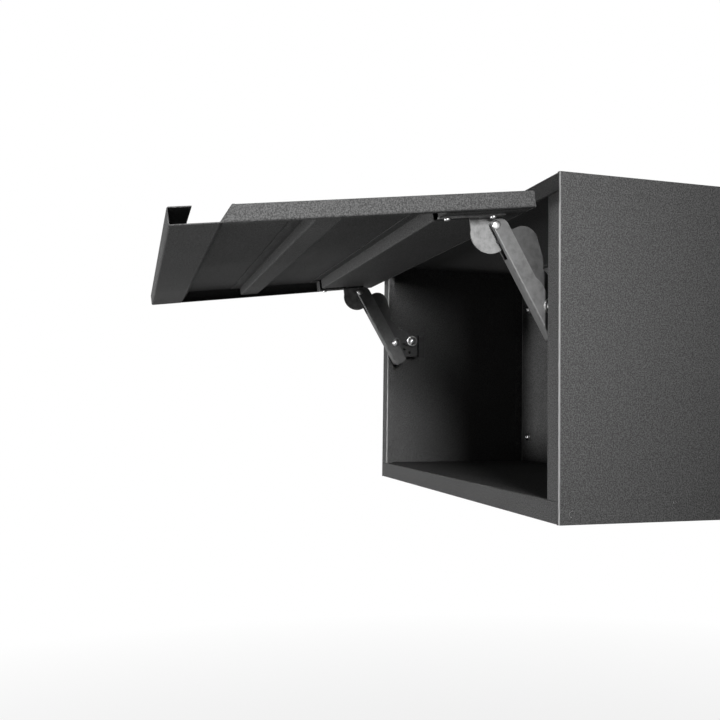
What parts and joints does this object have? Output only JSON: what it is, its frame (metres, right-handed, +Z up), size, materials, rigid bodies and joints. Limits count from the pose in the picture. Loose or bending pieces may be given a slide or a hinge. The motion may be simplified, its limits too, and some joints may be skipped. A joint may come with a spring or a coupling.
{
  "type": "workshop cabinet",
  "caption": "Low wall-hung workshop cabinet in folded sheet steel with a lift-up flap door carried by two folding four-bar stays.",
  "frame": {"origin": "middle of the four wall bolts, in the plane of the wall at the cabinet's back", "axes": "+X to the right seen from the front, +Y towards the wall, +Z up"},
  "size_m": [0.68, 0.6406, 0.35],
  "materials": {
    "body_paint": "dark grey textured powder coat",
    "door_paint": "dark grey textured powder coat",
    "zinc_plate": "zinc plated",
    "bright_steel": "bright plated"
  },
  "bodies": {
    "cabinet": {"arm_pivot_rivets": "bright_steel", "arm_pivot_washers": "bright_steel", "back_panel": "body_paint", "bottom_panel": "body_paint", "link_pivot_bolts": "bright_steel", "link_pivot_nuts": "bright_steel", "link_pivot_spacers": "bright_steel", "side_panel_left": "body_paint", "side_panel_right": "body_paint", "top_panel": "body_paint", "wall_bolt_washers": "bright_steel", "wall_bolts": "bright_steel", "wall_bracket_left": "zinc_plate", "wall_bracket_right": "zinc_plate"},
    "arm_right": {"door_pivot_pin_right": "bright_steel", "door_pivot_washers_right": "bright_steel", "stay_arm_right": "zinc_plate"},
    "arm_left": {"door_pivot_pin_left": "bright_steel", "door_pivot_washers_left": "bright_steel", "stay_arm_left": "zinc_plate"},
    "door": {"door_bracket_left": "zinc_plate", "door_bracket_right": "zinc_plate", "door_bracket_rivets": "bright_steel", "door_bracket_screws": "bright_steel", "door_channel": "door_paint", "door_panel": "door_paint", "door_rib": "door_paint"},
    "link_right": {"rear_link_right": "zinc_plate", "rear_link_rivet_right": "bright_steel"},
    "link_left": {"rear_link_left": "zinc_plate", "rear_link_rivet_left": "bright_steel"}
  },
  "joints": [
    {"name": "right_arm_lift", "type": "hinge", "parent": "cabinet", "child": "arm_right", "pos_m": [0.297, -0.254, 0.044], "axis": [-1, 0, 0], "range_deg": [0, 37.7]},
    {"name": "door_on_arm", "type": "hinge", "parent": "arm_right", "child": "door", "pos_m": [0.297, -0.31479, 0.12368], "axis": [1, 0, 0], "range_deg": [0, 120.6]},
    {"name": "left_arm_lift", "type": "hinge", "parent": "cabinet", "child": "arm_left", "pos_m": [-0.297, -0.254, 0.044], "axis": [-1, 0, 0], "range_deg": [0, 37.8]},
    {"name": "right_link_swing", "type": "hinge", "parent": "cabinet", "child": "link_right", "pos_m": [0.297, -0.2245, 0.048], "axis": [-1, 0, 0], "range_deg": [0, 45.4]},
    {"name": "left_link_swing", "type": "hinge", "parent": "cabinet", "child": "link_left", "pos_m": [-0.297, -0.2245, 0.048], "axis": [-1, 0, 0], "range_deg": [0, 45.4]}
  ],
  "couplings": [
    {"joint": "door_on_arm", "follows": "right_arm_lift", "ratio": 3.1947},
    {"joint": "left_arm_lift", "follows": "right_arm_lift", "ratio": 1},
    {"joint": "right_link_swing", "follows": "right_arm_lift", "ratio": 1.1991},
    {"joint": "left_link_swing", "follows": "right_arm_lift", "ratio": 1.1991}
  ]
}
